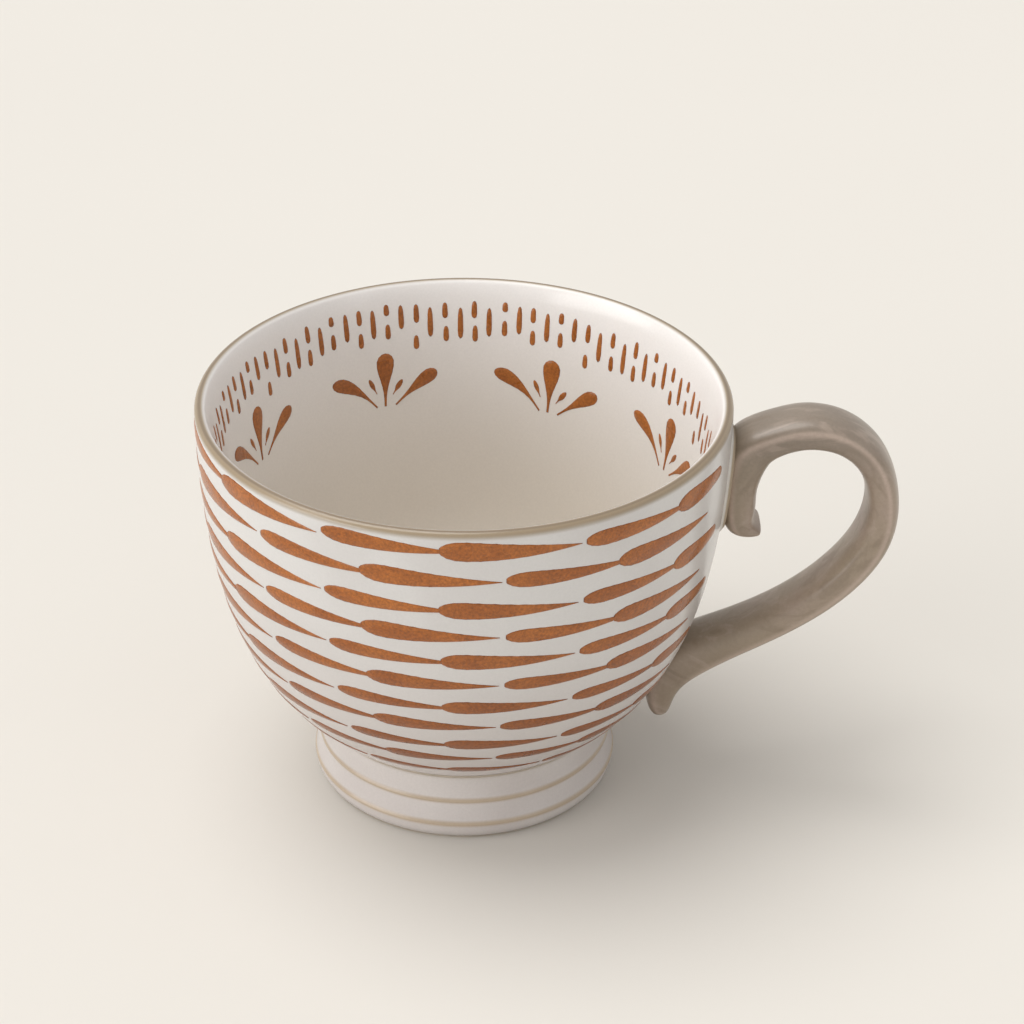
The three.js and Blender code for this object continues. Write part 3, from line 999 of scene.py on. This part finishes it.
# %% [markdown]
# ## Floor and light
# The mug stands on a plain pale floor, under an even sky that fills the shade. A wide soft sun
# stands high and a little to the left. A second one comes in low from the left and models the
# round of the bowl. Two softboxes give the glaze something to reflect.

# %% Floor
clear_selection()
bpy.ops.mesh.primitive_plane_add(size=60, location=(0, 0, 0))
floor = bpy.context.object
floor.name = "pale_floor"
floor_paper, tree, shader, position = new_material("pale_paper")
share = use_group(tree, drift, {"Position": position, "Per Metre": 3.0}).outputs["Share"]
colour = blend_colours(tree, share, tone(222, 218, 211), tone(223, 219, 212))
tree.links.new(colour, shader.inputs["Base Color"])
shader.inputs["Roughness"].default_value = 0.9
shader.inputs["Specular IOR Level"].default_value = 0.1
paint(floor, floor_paper)

# %% Light
world = bpy.data.worlds.new("even_sky")
world.use_nodes = True
world.node_tree.nodes["Background"].inputs["Color"].default_value = (1.0, 0.988, 0.975, 1)
world.node_tree.nodes["Background"].inputs["Strength"].default_value = 0.6
bpy.context.scene.world = world


def aim(lamp, place, target):
    """Puts a lamp at a place and turns it to face a target."""
    lamp.location = place
    lamp.rotation_euler = (Vector(target) - Vector(place)).to_track_quat("-Z", "Y").to_euler()


def softbox(name, place, width, depth, watts):
    clear_selection()
    bpy.ops.object.light_add(type="AREA")
    lamp = bpy.context.object
    lamp.name = name
    lamp.data.shape = "RECTANGLE"
    lamp.data.size = width
    lamp.data.size_y = depth
    lamp.data.energy = watts
    aim(lamp, place, (0, 0, 0.04))
    print(f"{name}: {watts} W")


def wide_sun(name, strength, spread, source):
    """A sun from the direction of a point. Its spread in degrees says how soft its shadows are."""
    clear_selection()
    bpy.ops.object.light_add(type="SUN")
    lamp = bpy.context.object
    lamp.name = name
    lamp.data.energy = strength
    lamp.data.angle = math.radians(spread)
    lamp.data.color = (1.0, 0.99, 0.975)
    aim(lamp, source, (0, 0, 0))
    print(f"{name}: strength {strength}, {spread} degrees wide")


wide_sun("high_sun", 1.6, 45, (-0.3, 0.1, 1.0))
wide_sun("side_sun", 1.5, 50, (-1.0, -0.5, 0.12))
softbox("left_softbox", (-2.0, -0.6, 1.6), 0.8, 1.4, 5.0)
softbox("right_softbox", (1.6, -1.4, 0.7), 0.4, 1.2, 1.2)

# %% [markdown]
# ## Camera
# The camera looks down on the mug at about thirty degrees, with a long lens from arm's length.

# %% Camera
CAMERA_PLACE = Vector((AXIS_X, -564.4, 387.2)) * MM
YAW, PITCH, ROLL = 0.0160, 0.5311, 0.0072
LENS = 121.57
forward = Vector((math.sin(YAW) * math.cos(PITCH), math.cos(YAW) * math.cos(PITCH), -math.sin(PITCH)))
level = Vector((math.cos(YAW), -math.sin(YAW), 0))
upward = level.cross(forward)
right = level * math.cos(ROLL) + upward * math.sin(ROLL)
upward = upward * math.cos(ROLL) - level * math.sin(ROLL)
clear_selection()
bpy.ops.object.camera_add(location=CAMERA_PLACE)
camera = bpy.context.object
camera.name = "arm_length_camera"
camera.rotation_euler = Matrix((right, upward, -forward)).transposed().to_euler()
camera.data.lens = LENS
camera.data.sensor_width = 36
camera.data.clip_start = 0.01
bpy.context.scene.camera = camera
bpy.context.scene.view_settings.view_transform = "Standard"
print("camera:", [round(v, 3) for v in camera.location], "lens", round(camera.data.lens, 2))
